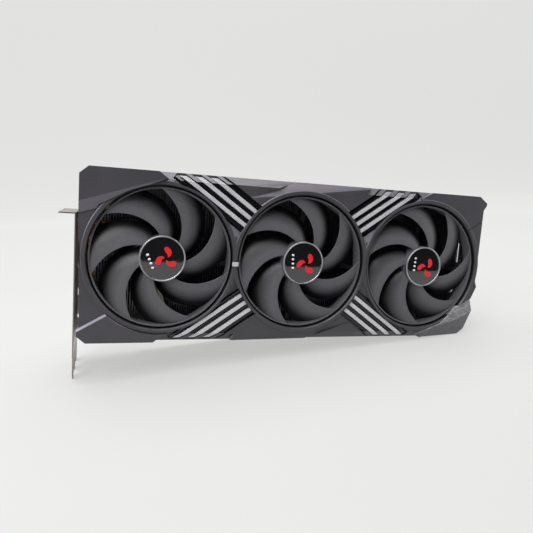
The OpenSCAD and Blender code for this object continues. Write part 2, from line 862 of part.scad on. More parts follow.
module hdmi_shell() {
    color([0.78, 0.78, 0.8]) difference() {
        through_bracket(hdmi_y, bracket_x - 2, bracket_x + 14) hdmi_shape();
        through_bracket(hdmi_y, bracket_x - 3, bracket_x + 12) hdmi_shape(-0.4);
    }
}

module port_tongues() {
    color([0.05, 0.05, 0.06]) {
        for (z = displayport_ys) {
            translate([bracket_x - 0.4, -port_h - 0.6, z - 6]) cube([15.4, 1.2, 12]);
        }
        translate([bracket_x - 0.4, -port_h - 0.5, hdmi_y - 5]) cube([12.4, 1, 10]);
    }
}

left_turn = 46.3;
middle_turn = 8.6;
right_turn = 22.6;

front_shroud();
upper_left_panel();
lower_left_panel();
end_trim();
slat_channels();
slat_bars();
web_lug();
rotor(-1, left_turn);  // left_rotor
rotor(0, middle_turn);  // middle_rotor
rotor(1, right_turn);  // right_rotor
hub_cap(-1);  // left_hub_cap
hub_cap(0);  // middle_hub_cap
hub_cap(1);  // right_hub_cap
cap_ring(-1);  // left_cap_ring
cap_ring(0);  // middle_cap_ring
cap_ring(1);  // right_cap_ring
shaft(-1);  // left_shaft
shaft(0);  // middle_shaft
shaft(1);  // right_shaft
magnet_ring(-1);  // left_magnet_ring
magnet_ring(0);  // middle_magnet_ring
magnet_ring(1);  // right_magnet_ring
bearing(-1);  // left_bearing
bearing(0);  // middle_bearing
bearing(1);  // right_bearing
stator(-1);  // left_stator
stator(0);  // middle_stator
stator(1);  // right_stator
fan_frame(-1);  // left_fan_frame
fan_frame(0);  // middle_fan_frame
fan_frame(1);  // right_fan_frame
fan_lead(-1);  // left_fan_lead
fan_lead(0);  // middle_fan_lead
fan_lead(1);  // right_fan_lead
fan_screws();
fin_stack();
heat_pipes();
cold_plate();
thermal_pads();
board_frame();
circuit_board();
edge_contacts();
gpu_package();
gpu_die();
memory_chips();
power_inductors();
power_stages();
capacitors();
power_socket();
power_pins();
fan_headers();
backplate();
backplate_screws();
slot_bracket();
bracket_screws();
displayport_shells();
hdmi_shell();
port_tongues();
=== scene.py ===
"""Looks for a triple-fan graphics card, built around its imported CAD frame.

The card's frame is in metres: +X runs from the slot bracket to the far end,
+Z up from the edge connector, and the fans face -Y. The card's sizes are
written in millimetres, and mm() turns them into metres. The studio round it
is laid out in metres. Colours are linear red, green and blue.
"""

import json
import math

import bmesh
import bpy
from mathutils import Matrix, Vector


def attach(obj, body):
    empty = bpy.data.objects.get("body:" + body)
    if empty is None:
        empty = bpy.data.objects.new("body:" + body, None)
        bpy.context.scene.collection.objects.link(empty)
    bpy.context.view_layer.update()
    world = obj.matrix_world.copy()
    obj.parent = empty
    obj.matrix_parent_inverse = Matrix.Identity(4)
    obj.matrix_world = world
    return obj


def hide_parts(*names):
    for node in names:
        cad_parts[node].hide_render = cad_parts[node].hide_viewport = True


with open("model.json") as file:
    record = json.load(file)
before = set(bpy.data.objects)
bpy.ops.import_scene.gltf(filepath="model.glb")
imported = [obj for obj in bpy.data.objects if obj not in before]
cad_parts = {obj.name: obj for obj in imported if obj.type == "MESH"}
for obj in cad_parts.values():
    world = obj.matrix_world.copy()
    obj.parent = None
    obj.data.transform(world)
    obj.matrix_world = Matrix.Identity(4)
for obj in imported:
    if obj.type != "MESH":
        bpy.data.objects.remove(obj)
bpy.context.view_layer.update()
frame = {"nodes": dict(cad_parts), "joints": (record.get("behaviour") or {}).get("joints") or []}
nodes = frame["nodes"]
scene = bpy.context.scene


def mm(value):
    return value * 0.001


# ---------- finishes ----------


class Finish:
    """A Principled material whose detail comes from textures in the object's own metres."""

    # Places of the sockets that a Mix node uses for colours
    FACTOR, FIRST, SECOND, MIXED = 0, 6, 7, 2

    def __init__(self, name, colour, rough, metal=0.0, **sockets):
        self.material = bpy.data.materials.new(name)
        self.material.use_nodes = True
        self.material.diffuse_color = (*colour, 1)
        self.tree = self.material.node_tree
        self.shader = self.tree.nodes["Principled BSDF"]
        self.base = colour
        self.painted = None
        self.height = None
        self.place = self.tree.nodes.new("ShaderNodeTexCoord").outputs["Object"]
        self.set("Base Color", (*colour, 1))
        self.set("Roughness", rough)
        self.set("Metallic", metal)
        for key, value in sockets.items():
            self.set(key.replace("_", " ").title().replace("Ior", "IOR"), value)

    def set(self, socket, value):
        self.shader.inputs[socket].default_value = value

    def node(self, kind, **settings):
        made = self.tree.nodes.new("ShaderNode" + kind)
        for key, value in settings.items():
            setattr(made, key, value)
        return made

    def link(self, output, target):
        self.tree.links.new(output, target)

    def stretched(self, stretch):
        """The object's coordinates, with each axis scaled."""
        mapping = self.node("Mapping")
        mapping.inputs["Scale"].default_value = stretch
        self.link(self.place, mapping.inputs["Vector"])
        return mapping.outputs["Vector"]

    def noise(self, size, detail=3.0, stretch=None, distortion=0.0, contrast=None):
        """Noise whose blobs are about size millimetres across, from 0 to 1."""
        noise = self.node("TexNoise")
        noise.inputs["Scale"].default_value = 1 / mm(size)
        noise.inputs["Detail"].default_value = detail
        noise.inputs["Distortion"].default_value = distortion
        self.link(self.stretched(stretch) if stretch else self.place, noise.inputs["Vector"])
        out = noise.outputs["Fac"]
        return self.remap(out, *contrast) if contrast else out

    def remap(self, value, low, high, to_low=0.0, to_high=1.0):
        node = self.node("MapRange")
        ends = {"From Min": low, "From Max": high, "To Min": to_low, "To Max": to_high}
        for key, number in ends.items():
            node.inputs[key].default_value = number
        self.link(value, node.inputs["Value"])
        return node.outputs["Result"]

    def combine(self, operation, *values):
        """A Math node. Each value is a socket or a number."""
        node = self.node("Math", operation=operation)
        for slot, value in enumerate(values):
            if isinstance(value, (int, float)):
                node.inputs[slot].default_value = value
            else:
                self.link(value, node.inputs[slot])
        return node.outputs["Value"]

    def mixed(self, first, second, share):
        """Two textures added together: share of the first, and the rest of the second."""
        parts = [self.combine("MULTIPLY", first, share), self.combine("MULTIPLY", second, 1 - share)]
        return self.combine("ADD", *parts)

    def band(self, value, rise, fall, after=0.0):
        """0 below rise, 1 between rise and fall, and after above fall."""
        return self.combine("MULTIPLY", self.remap(value, *rise), self.remap(value, *fall, 1, after))

    def blend(self, factor, first, second):
        """Mixes two colours, each a socket or three numbers."""
        node = self.node("Mix", data_type="RGBA")
        self.link(factor, node.inputs[self.FACTOR])
        for slot, value in ((self.FIRST, first), (self.SECOND, second)):
            if isinstance(value, (tuple, list)):
                node.inputs[slot].default_value = (*value, 1)
            else:
                self.link(value, node.inputs[slot])
        return node.outputs[self.MIXED]

    def along(self, direction, vector=None):
        """How far a vector reaches along a direction: the object's coordinates unless one is given."""
        node = self.node("VectorMath", operation="DOT_PRODUCT")
        node.inputs[1].default_value = direction
        self.link(vector or self.place, node.inputs[0])
        return node.outputs["Value"]

    def upward(self):
        """How squarely the surface faces the card's top edge, from -1 to 1."""
        return self.along((0, 0, 1), self.node("NewGeometry").outputs["True Normal"])

    def lift(self, factor, share):
        """Blends what is painted so far towards share times the base colour."""
        return self.colour(self.blend(factor, self.painted, tuple(c * share for c in self.base)))

    def colour(self, socket):
        self.link(socket, self.shader.inputs["Base Color"])
        self.painted = socket
        return self

    def tint(self, factor, low, high):
        """Varies the base colour's brightness between two shares of it."""
        shades = [tuple(min(1.0, c * share) for c in self.base) for share in (low, high)]
        return self.colour(self.blend(factor, *shades))

    def rough(self, factor, low, high):
        self.link(self.remap(factor, 0.3, 0.7, low, high), self.shader.inputs["Roughness"])
        return self

    def bump(self, height, depth, strength=1.0):
        """Adds relief of depth millimetres on top of the relief so far."""
        node = self.node("Bump")
        node.inputs["Strength"].default_value = strength
        node.inputs["Distance"].default_value = mm(depth)
        self.link(height, node.inputs["Height"])
        if self.height:
            self.link(self.height, node.inputs["Normal"])
        self.height = node.outputs["Normal"]
        self.link(self.height, self.shader.inputs["Normal"])
        return self


def moulded(name, colour, rough, grain=0.35, depth=0.02):
    """Spark-eroded moulded plastic: fine grain, a slight drift in tone, and handling marks."""
    finish = Finish(name, colour, rough)
    drift = finish.noise(28, 3, contrast=(0.35, 0.65))
    speck = finish.noise(grain, 2, contrast=(0.3, 0.7))
    finish.tint(finish.mixed(drift, speck, 0.6), 0.86, 1.14)
    finish.rough(finish.noise(9, 4, distortion=0.6), rough - 0.05, rough + 0.07)
    return finish.bump(speck, depth, 0.6).bump(finish.noise(45, 1), 0.12, 0.25)


def glossy(name, colour, rough, **sockets):
    """Polished plastic: faint waviness, hairline wipe marks and a little dust."""
    finish = Finish(name, colour, rough, **sockets)
    wipes = finish.noise(6, 4, stretch=(1, 1, 7), contrast=(0.45, 0.75))
    dust = finish.noise(0.9, 1, contrast=(0.74, 0.8))
    lighter = tuple(min(1.0, c + 0.05) for c in colour)
    finish.colour(finish.blend(finish.combine("MULTIPLY", dust, 0.5), colour, lighter))
    finish.rough(finish.combine("ADD", wipes, finish.combine("MULTIPLY", dust, 0.4)), rough, rough + 0.09)
    return finish.bump(finish.noise(18, 1), 0.03, 0.3)


def brushed(name, colour, rough, stretch, line, drift=(0.88, 1.1), metal=1.0):
    """Metal or metallic paint brushed along the axis that stretch scales least, with smudges."""
    finish = Finish(name, colour, rough, metal)
    lines = finish.noise(line, 3, stretch=stretch, contrast=(0.3, 0.7))
    smudge = finish.noise(14, 4, distortion=0.8, contrast=(0.35, 0.7))
    both = finish.mixed(lines, smudge, 0.6)
    finish.tint(both, *drift)
    finish.rough(both, rough - 0.06, rough + 0.1)
    return finish.bump(lines, 0.006, 0.5)


def cast_metal(name, colour, rough, blotch):
    """Plated or sintered metal with fine uneven tone."""
    finish = Finish(name, colour, rough, 1.0)
    blotches = finish.noise(blotch, 4, distortion=0.4, contrast=(0.3, 0.7))
    finish.tint(blotches, 0.78, 1.15)
    finish.rough(blotches, rough - 0.05, rough + 0.12)
    return finish.bump(finish.noise(blotch * 0.3, 2), 0.012, 0.5)


# The fans' axes from left to right, and the step from one to the next
AXES = sorted((Vector(joint["pos_m"]) for joint in frame["joints"]), key=lambda axis: axis.x)
PITCH = AXES[1].x - AXES[0].x
# The radii between which the painted shade on a fan duct's wall ends
DUCT_EDGE = (51.3, 51.9)
SHROUD_BLACK = (0.046, 0.0435, 0.051)
PANEL_BLACK = (0.049, 0.0465, 0.0545)
ROTOR_BLACK = (0.095, 0.0925, 0.102)
# The two near blacks below are painted shade: on the fan ducts' walls, and deep on the blades
DUCT_PAINTED_SHADE = (0.004, 0.004, 0.005)
DEEP_PAINTED_SHADE = (0.003, 0.003, 0.0035)
# How squarely a face looks up where a painted highlight sets in, and where it goes again
FACET_RISE, FACET_FALL = (0.12, 0.32), (0.42, 0.65)
STEEP_RISE, STEEP_FALL = (0.5, 0.65), (0.85, 0.95)
UNDERCUT_RISE = (-0.12, -0.22)
# The painted highlights as shares of the base colour, and the part of it that sloped edges keep
FACET_PAINTED_LIGHT, UNDERCUT_PAINTED_LIGHT, STEEP_PAINTED_LIGHT = 3.2, 2.1, 5.0
SLOPE_PART = 0.3


def add_shroud_finish():
    """Moulded plastic, with a painted highlight on the shallow facets that face up and painted shade,
    near black, on the walls of the fan ducts.
    """
    finish = moulded("shroud_plastic", SHROUD_BLACK, 0.46)
    # Painted highlight: lighter on shallow facets that face up, and partly so on steeper slopes
    finish.lift(finish.band(finish.upward(), FACET_RISE, FACET_FALL, SLOPE_PART), FACET_PAINTED_LIGHT)

    def pitches(direction, start):
        """The distance from the middle fan's axis along a direction, in fan pitches."""
        return finish.combine("DIVIDE", finish.combine("SUBTRACT", finish.along(direction), start), PITCH)

    # Painted shade: near black inside each fan duct's radius, on the duct walls
    sideways, up = pitches((1, 0, 0), AXES[1].x), pitches((0, 0, 1), AXES[1].z)
    beside = finish.combine("SUBTRACT", sideways, finish.combine("ROUND", sideways))
    squares = [finish.combine("MULTIPLY", value, value) for value in (beside, up)]
    radius = finish.combine("SQRT", finish.combine("ADD", *squares))
    duct = finish.remap(radius, *(mm(edge) / PITCH for edge in DUCT_EDGE), 1, 0)
    return finish.colour(finish.blend(duct, finish.painted, DUCT_PAINTED_SHADE))


def add_panel_finish():
    """Moulded plastic, with painted highlights on the panels' bevelled inner edges: where they face down,
    and stronger where they face steeply up.
    """
    finish = moulded("panel_plastic", PANEL_BLACK, 0.43)
    upward = finish.upward()
    # Painted highlights: lighter where a bevel faces down, and lighter still where it faces steeply up
    finish.lift(finish.remap(upward, *UNDERCUT_RISE), UNDERCUT_PAINTED_LIGHT)
    return finish.lift(finish.band(upward, STEEP_RISE, STEEP_FALL), STEEP_PAINTED_LIGHT)


shroud_plastic = add_shroud_finish()
# The rounded edges of shroud and panels: glossier, and lighter in colour as a painted highlight
shroud_edge_highlight = moulded("shroud_plastic_edge_highlight", (0.085, 0.083, 0.092), 0.34, depth=0.008)
panel_plastic = add_panel_finish()
frame_plastic = moulded("frame_plastic", (0.012, 0.012, 0.014), 0.5)
rim_black = moulded("rim_black", (0.018, 0.018, 0.02), 0.5)
socket_black = moulded("socket_black", (0.014, 0.014, 0.015), 0.42, grain=0.25)
chip_black = moulded("chip_black", (0.014, 0.014, 0.016), 0.4, grain=0.2, depth=0.01)
header_white = moulded("header_white", (0.72, 0.7, 0.62), 0.42, grain=0.25, depth=0.006)
pad_grey = moulded("pad_grey", (0.34, 0.38, 0.45), 0.7, grain=0.5, depth=0.03)
can_black = moulded("can_black", (0.02, 0.02, 0.023), 0.34, grain=0.3, depth=0.005)
coil_grey = moulded("coil_grey", (0.075, 0.075, 0.082), 0.55, grain=0.3)
lead_cream = moulded("lead_cream", (0.74, 0.68, 0.5), 0.42, grain=0.6, depth=0.008)
lead_black = moulded("lead_black", (0.014, 0.014, 0.015), 0.42, grain=0.6, depth=0.008)
package_green = moulded("package_green", (0.03, 0.12, 0.06), 0.4, grain=0.3, depth=0.004)
magnet_ferrite = moulded("magnet_ferrite", (0.05, 0.05, 0.052), 0.6, grain=0.3)
channel_gloss = glossy("channel_gloss", (0.006, 0.006, 0.0075), 0.16)
cap_gloss = glossy("cap_gloss", (0.005, 0.005, 0.006), 0.04, ior=1.9)
die_silicon = glossy("die_silicon", (0.09, 0.1, 0.13), 0.12, metallic=0.6)
slat_coat = brushed("slat_coat", (0.6, 0.592, 0.635), 0.5, (30, 1, 30), 1.2, (0.92, 1.08), 0.4)
# Painted shade: the slats are darker where they face up
slat_coat.lift(slat_coat.remap(slat_coat.upward(), 0.4, 0.6), 0.35)
cap_ring_metal = brushed("cap_ring_metal", (0.42, 0.42, 0.44), 0.3, (1, 1, 1), 0.4)
backplate_metal = brushed("backplate_metal", (0.075, 0.075, 0.082), 0.42, (1, 40, 40), 2.5, (0.8, 1.15))
bracket_nickel = brushed("bracket_nickel", (0.33, 0.285, 0.26), 0.34, (40, 40, 1), 3.0, (0.7, 1.15))
shell_steel = brushed("shell_steel", (0.62, 0.62, 0.63), 0.28, (1, 30, 30), 1.0)
shaft_steel = brushed("shaft_steel", (0.6, 0.6, 0.62), 0.2, (30, 1, 30), 0.5)
plate_copper = brushed("plate_copper", (0.68, 0.6, 0.55), 0.3, (1, 40, 40), 1.5)
screw_steel = cast_metal("screw_steel", (0.3, 0.3, 0.32), 0.32, 0.6)
screw_black = cast_metal("screw_black", (0.05, 0.05, 0.055), 0.4, 0.6)
bearing_bronze = cast_metal("bearing_bronze", (0.6, 0.42, 0.2), 0.4, 0.3)
contact_gold = cast_metal("contact_gold", (0.83, 0.58, 0.2), 0.28, 0.5)


FIN_PITCH = 1.9
WIRE_PITCH = 0.5


def add_fin_finish():
    """Aluminium sheet, kept dark as painted shade for its place deep behind the fans: each fin has its
    own tone, with rolling lines along its height.
    """
    finish = Finish("fin_aluminium", (0.3, 0.3, 0.31), 0.42, 1.0)
    index = finish.combine("FLOOR", finish.combine("DIVIDE", finish.along((1, 0, 0)), mm(FIN_PITCH)))
    sheet = finish.node("TexWhiteNoise", noise_dimensions="1D")
    finish.link(index, sheet.inputs["W"])
    lines = finish.noise(1.5, 3, stretch=(40, 40, 1))
    finish.tint(finish.combine("MULTIPLY", sheet.outputs["Value"], lines), 0.75, 1.2)
    finish.rough(lines, 0.32, 0.46)
    return finish.bump(lines, 0.008, 0.5)


def add_pipe_finish():
    """Copper with a thin, uneven brown oxide film."""
    finish = Finish("pipe_copper", (0.62, 0.3, 0.18), 0.3, 1.0)
    film = finish.noise(9, 5, distortion=1.0, contrast=(0.35, 0.65))
    finish.colour(finish.blend(film, (0.66, 0.33, 0.2), (0.33, 0.15, 0.09)))
    return finish.rough(film, 0.22, 0.42).bump(finish.noise(0.6, 2), 0.006, 0.4)


def add_winding_finish():
    """Enamelled copper wire, wound turn beside turn."""
    finish = Finish("stator_copper", (0.55, 0.24, 0.1), 0.3, 0.9)
    turns = finish.node("TexWave", wave_type="BANDS", bands_direction="Y")
    turns.inputs["Scale"].default_value = 1 / mm(WIRE_PITCH) / 6.28
    finish.link(finish.place, turns.inputs["Vector"])
    finish.tint(turns.outputs["Fac"], 0.5, 1.2)
    return finish.bump(turns.outputs["Fac"], 0.15)


def add_board_finish():
    """Black solder mask over copper: routed tracks, pads and vias show as faint relief."""
    mask, raised = (0.012, 0.015, 0.015), (0.035, 0.045, 0.04)
    finish = Finish("board_black", mask, 0.3)
    track = finish.node("TexBrick", offset=0.5, squash=1.6)
    track.inputs["Scale"].default_value = 1 / mm(9)
    track.inputs["Mortar Size"].default_value = 0.03
    turned = finish.node("Mapping")
    turned.inputs["Rotation"].default_value = (math.radians(90), 0, 0)
    finish.link(finish.place, turned.inputs["Vector"])
    finish.link(turned.outputs["Vector"], track.inputs["Vector"])
    vias = finish.node("TexVoronoi", feature="F1")
    vias.inputs["Scale"].default_value = 1 / mm(2.2)
    finish.link(finish.place, vias.inputs["Vector"])
    ring = finish.remap(vias.outputs["Distance"], 0.12, 0.16, 1, 0)
    copper = finish.combine("MAXIMUM", track.outputs["Fac"], ring)
    finish.colour(finish.blend(copper, mask, raised))
    return finish.rough(finish.noise(4, 3), 0.26, 0.4).bump(copper, 0.035)


fin_aluminium = add_fin_finish()
pipe_copper = add_pipe_finish()
stator_copper = add_winding_finish()
board_black = add_board_finish()


# The trim's ridge is the line z = RIDGE_LEVEL + RIDGE_SLOPE * x
RIDGE_SLOPE, RIDGE_LEVEL = 0.33, -49.9
RIDGE_WIDTH = 0.6


def add_trim_finish():
    """Satin metallic paint over the corner trim: marbled, lighter above its ridge as a painted highlight
    where it faces up, and darker below.
    """
    finish = Finish("trim_marble", (0.12, 0.118, 0.126), 0.36, 0.3)
    veins = finish.noise(11, 6, stretch=(1, 1, 2.2), distortion=1.9, contrast=(0.4, 0.62))
    flake = finish.noise(0.5, 1, contrast=(0.4, 0.7))
    tone = finish.mixed(veins, flake, 0.75)
    lower = finish.blend(tone, (0.098, 0.096, 0.103), (0.135, 0.133, 0.14))
    upper = finish.blend(tone, (0.15, 0.147, 0.155), (0.33, 0.326, 0.338))
    ridge = [mm(RIDGE_LEVEL + side * RIDGE_WIDTH / 2) for side in (-1, 1)]
    above = finish.remap(finish.along((-RIDGE_SLOPE, 0, 1)), *ridge)
    # The lighter colour above the ridge is a painted highlight on the upward-facing part
    finish.colour(finish.blend(above, lower, upper))
    return finish.rough(veins, 0.3, 0.44).bump(flake, 0.01, 0.5)


def add_trim_edge_highlight():
    """The trim's rounded edges, with a painted highlight where they face up."""
    finish = moulded("trim_edge_highlight", (0.13, 0.128, 0.136), 0.32, depth=0.006)
    # Painted highlight: much lighter where the edges face up
    return finish.lift(finish.remap(finish.upward(), 0.2, 0.4), 7.0)


trim_marble = add_trim_finish()
trim_edge_highlight = add_trim_edge_highlight()


# A blade's vertices carry their way from its front edge to its rear edge, from 0 to 1
DEPTH_SHARE = "depth_share"


def add_rotor_finish():
    """Glass-filled black nylon: satin with flow lines in front, and painted shade that turns it near
    black deep in the duct, towards each blade's rear edge.
    """
    finish = Finish("rotor_plastic", ROTOR_BLACK, 0.4, specular_ior_level=0.35)
    flow = finish.noise(3.2, 4, distortion=1.2, contrast=(0.35, 0.65))
    speck = finish.noise(0.3, 2, contrast=(0.3, 0.7))
    finish.tint(finish.mixed(flow, speck, 0.5), 0.88, 1.12)
    # Painted shade: near black towards each blade's rear edge
    depth = finish.node("Attribute", attribute_name=DEPTH_SHARE).outputs["Fac"]
    finish.colour(finish.blend(finish.remap(depth, 0.28, 0.8), finish.painted, DEEP_PAINTED_SHADE))
    return finish.rough(flow, 0.38, 0.47).bump(speck, 0.012, 0.6)


rotor_plastic = add_rotor_finish()


def printed(name, colour):
    """Pad-printed ink: nearly even, with a fine edge of texture."""
    finish = Finish(name, colour, 0.34)
    finish.tint(finish.noise(0.5, 2, contrast=(0.35, 0.65)), 0.92, 1.06)
    return finish.bump(finish.noise(0.25, 1), 0.004, 0.5)


mark_red = printed("mark_red", (0.72, 0.012, 0.02))
tick_white = printed("tick_white", (0.75, 0.75, 0.75))

# ---------- CAD nodes that keep their shape ----------


# Edges that turn by more than these angles are rounded or split. Faces that turn by less than
# FLAT_ANGLE are joined first. All three are degrees
CAD_EDGE_ANGLE, FAN_EDGE_ANGLE, FLAT_ANGLE = 32, 35, 0.4
# The finishes whose rounded edges have a finish of their own, lighter as a painted highlight, and the
# place of its slot
EDGE_HIGHLIGHTS = {shroud_plastic: shroud_edge_highlight, panel_plastic: shroud_edge_highlight, trim_marble: trim_edge_highlight}
EDGE_SLOT = 1


def shade_smooth(mesh):
    for polygon in mesh.polygons:
        polygon.use_smooth = True


def add_bevel(obj, width, angle):
    """Rounds the edges that turn by more than angle degrees, to width millimetres."""
    soft = obj.modifiers.new("soft", "BEVEL")
    soft.width = mm(width)
    soft.segments = 2
    soft.limit_method = "ANGLE"
    soft.angle_limit = math.radians(angle)
    return soft


def add_normals(obj):
    """Shades flat faces flat and lets only the rounded edges between them turn."""
    obj.modifiers.new("normals", "WEIGHTED_NORMAL").keep_sharp = True


def dress(name, finish, bevel=0.0):
    """Gives a CAD node its finish, and softens its edges by bevel millimetres."""
    obj = nodes[name]
    mesh = obj.data
    mesh.materials.clear()
    mesh.materials.append(finish.material)
    if "custom_normal" in mesh.attributes:
        mesh.attributes.remove(mesh.attributes["custom_normal"])
    shade_smooth(mesh)
    weld = obj.modifiers.new("weld", "WELD")
    weld.merge_threshold = mm(0.001)
    if not bevel:
        split = obj.modifiers.new("split", "EDGE_SPLIT")
        split.split_angle = math.radians(CAD_EDGE_ANGLE)
        return
    flat = obj.modifiers.new("flat", "DECIMATE")
    flat.decimate_type = "DISSOLVE"
    flat.angle_limit = math.radians(FLAT_ANGLE)
    soft = add_bevel(obj, bevel, CAD_EDGE_ANGLE)
    if finish in EDGE_HIGHLIGHTS:
        mesh.materials.append(EDGE_HIGHLIGHTS[finish].material)
        soft.material = EDGE_SLOT
    add_normals(obj)


for name, finish, bevel in (
    ("front_shroud", shroud_plastic, 0.3),
    ("upper_left_panel", panel_plastic, 0.3),
    ("lower_left_panel", panel_plastic, 0.3),
    ("end_trim", trim_marble, 0.8),
    ("slat_channels", channel_gloss, 0.15),
    ("slat_bars", slat_coat, 0.35),
    ("web_lug", slat_coat, 0.25),
    ("fan_screws", screw_black, 0),
    ("fin_stack", fin_aluminium, 0),
    ("heat_pipes", pipe_copper, 0),
    ("cold_plate", plate_copper, 0.2),
    ("thermal_pads", pad_grey, 0.1),
    ("board_frame", rim_black, 0.3),
    ("circuit_board", board_black, 0),
    ("edge_contacts", contact_gold, 0),
    ("gpu_package", package_green, 0.1),
    ("gpu_die", die_silicon, 0.05),
    ("memory_chips", chip_black, 0.1),
    ("power_inductors", coil_grey, 0.3),
    ("power_stages", chip_black, 0.1),
    ("capacitors", can_black, 0.4),
    ("power_socket", socket_black, 0.15),
    ("power_pins", contact_gold, 0),
    ("fan_headers", header_white, 0.15),
    ("backplate", backplate_metal, 0.25),
    ("backplate_screws", screw_steel, 0.15),
    ("slot_bracket", bracket_nickel, 0.12),
    ("bracket_screws", screw_steel, 0.15),
    ("displayport_shells", shell_steel, 0.1),
    ("hdmi_shell", shell_steel, 0.1),
    ("port_tongues", socket_black, 0.1),
):
    dress(name, finish, bevel)

for side in ("left", "middle", "right"):
    dress(f"{side}_shaft", shaft_steel, 0.15)
    dress(f"{side}_magnet_ring", magnet_ferrite, 0.2)
    dress(f"{side}_bearing", bearing_bronze, 0.15)
    dress(f"{side}_stator", stator_copper, 0.15)
    dress(f"{side}_fan_frame", frame_plastic, 0.2)
    dress(f"{side}_fan_lead", lead_cream if side == "left" else lead_black, 0.2)

# ---------- fans ----------

# Heights are distances in front of the board's face, and angles are degrees
BLADES = 7
BLADE_SWEEP = 46
BLADE_HUB_WIDTH, BLADE_TIP_WIDTH = 50, 38
BLADE_T = 1.7
BLADE_THINNING = 0.45
BLADE_FILLET = 0.9
# The front edge's height at the hub, and how much it falls towards the ring
BLADE_FRONT, BLADE_FALL = 64, 1.8
# A blade's depth at the hub, and how much of it is gone at the ring
BLADE_DEPTH, BLADE_TAPER = 10.2, 1.6
# How far a blade runs into the hub's wall and into the ring
ROOT_OVERLAP, TIP_OVERLAP = 0.8, 0.6
BLADE_ROWS, BLADE_COLUMNS = 26, 30
HUB_R, HUB_BORE_R = 16.3, 14.6
HUB_FRONT, HUB_ROOF = 65.2, 62.6
BOSS_R, BOSS_BACK, SHAFT_HOLE_R = 3.4, 61.4, 1.5
RING_R = 49.9
RING_T = 1.2
ROTOR_BACK, RING_FRONT = 52.6, 62.6
ROTOR_ROUND = 0.22
CAP_R, CAP_EDGE, CAP_DOME = 15.15, 66.45, 0.25
CAP_ROUND = 0.12
CAP_RINGS = 12
BEZEL_EDGE = 66.3
# The rounded crest of the cap's rim: how far in from the hub's radius, and how high
BEZEL_CREST = ((0.08, 66.62), (0.3, 66.84), (0.55, 66.88), (0.85, 66.8))
TURNS = {"left": 46.3, "middle": 8.6, "right": 22.6}
MARK_TURNS = {"left": 6, "middle": -14, "right": -20}
MARK_T = 0.05


def add_object(name, bm):
    """Puts a bmesh into the scene as an object."""
    mesh = bpy.data.meshes.new(name)
    bm.to_mesh(mesh)
    bm.free()
    obj = bpy.data.objects.new(name, mesh)
    scene.collection.objects.link(obj)
    return obj


def finished(name, bm, finish, body, stands_for=(), bevel=0.0):
    """Makes a piece from a bmesh whose points are in millimetres round a fan's axis."""
    joint = next(joint for joint in frame["joints"] if joint["child"] == body)
    axis = Vector(joint["pos_m"])
    for vertex in bm.verts:
        u, v, height = vertex.co
        vertex.co = (axis.x + mm(u), -mm(height), axis.z + mm(v))
    bmesh.ops.recalc_face_normals(bm, faces=bm.faces)
    obj = add_object(name, bm)
    shade_smooth(obj.data)
    obj.data.materials.append(finish.material)
    if bevel:
        add_bevel(obj, bevel, FAN_EDGE_ANGLE)
    add_normals(obj)
    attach(obj, body)
    if stands_for:
        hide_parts(*stands_for)


def lathe(bm, profile, steps=128, centre=False):
    """Turns a profile of (radius, height) points about the axis.

    centre says that both ends of the profile lie on the axis, where they close the skin.
    """
    turns = [2 * math.pi * k / steps for k in range(steps)]
    rings = []
    for radius, height in profile:
        if radius < 1e-6:
            rings.append([bm.verts.new((0, 0, height))] * steps)
        else:
            circle = ((radius * math.cos(turn), radius * math.sin(turn)) for turn in turns)
            rings.append([bm.verts.new((u, v, height)) for u, v in circle])
    count = len(rings)
    for i in range(count - 1 if centre else count):
        a, b = rings[i], rings[(i + 1) % count]
        for k in range(steps):
            n = (k + 1) % steps
            corners = list(dict.fromkeys((a[k], a[n], b[n], b[k])))
            if len(corners) > 2:
                bm.faces.new(corners)


def span(r):
    """How far radius r is from the hub to the ring, from 0 to 1."""
    return (r - HUB_R) / (RING_R - RING_T - HUB_R)


def blade_drop(t):
    """Share of a blade's depth that it has dropped by t: nearly flat in front, then steeper."""
    return 0.15 * t + 0.85 * t**2.5


def blade_point(r, t, down, turn):
    """The point t along a blade at radius r, from its front edge to its rear edge."""
    s = span(r)
    width = BLADE_HUB_WIDTH + (BLADE_TIP_WIDTH - BLADE_HUB_WIDTH) * s
    angle = math.radians(turn + BLADE_SWEEP * s - t * width)
    height = BLADE_FRONT - BLADE_FALL * s - (BLADE_DEPTH - BLADE_TAPER * s) * blade_drop(t)
    return r * math.cos(angle), r * math.sin(angle), height - down


def add_blade(bm, turn):
    """One blade as a closed skin, thin at both edges and thicker where it meets the hub."""
    rows, columns = BLADE_ROWS, BLADE_COLUMNS
    first, last = HUB_R - ROOT_OVERLAP, RING_R - TIP_OVERLAP
    layers = bm.verts.layers.float
    depth = layers.get(DEPTH_SHARE) or layers.new(DEPTH_SHARE)
    skins = []
    for lower in (0, 1):
        skin = []
        for i in range(rows + 1):
            r = first + (last - first) * i / rows
            fillet = BLADE_FILLET * math.exp(-max(0.0, r - HUB_R) / BLADE_FILLET)
            row = []
            for j in range(columns + 1):
                t = j / columns
                thickness = BLADE_T * (1 - BLADE_THINNING * (2 * t - 1) ** 4) + fillet
                vertex = bm.verts.new(blade_point(r, t, lower * thickness, turn))
                vertex[depth] = t
                row.append(vertex)
            skin.append(row)
        skins.append(skin)
    top, bottom = skins
    for i in range(rows):
        for j in range(columns):
            bm.faces.new((top[i][j], top[i + 1][j], top[i + 1][j + 1], top[i][j + 1]))
            bm.faces.new((bottom[i][j], bottom[i][j + 1], bottom[i + 1][j + 1], bottom[i + 1][j]))
        for j in (0, columns):
            bm.faces.new((top[i][j], top[i + 1][j], bottom[i + 1][j], bottom[i][j]))
    for j in range(columns):
        for i in (0, rows):
            bm.faces.new((top[i][j], top[i][j + 1], bottom[i][j + 1], bottom[i][j]))


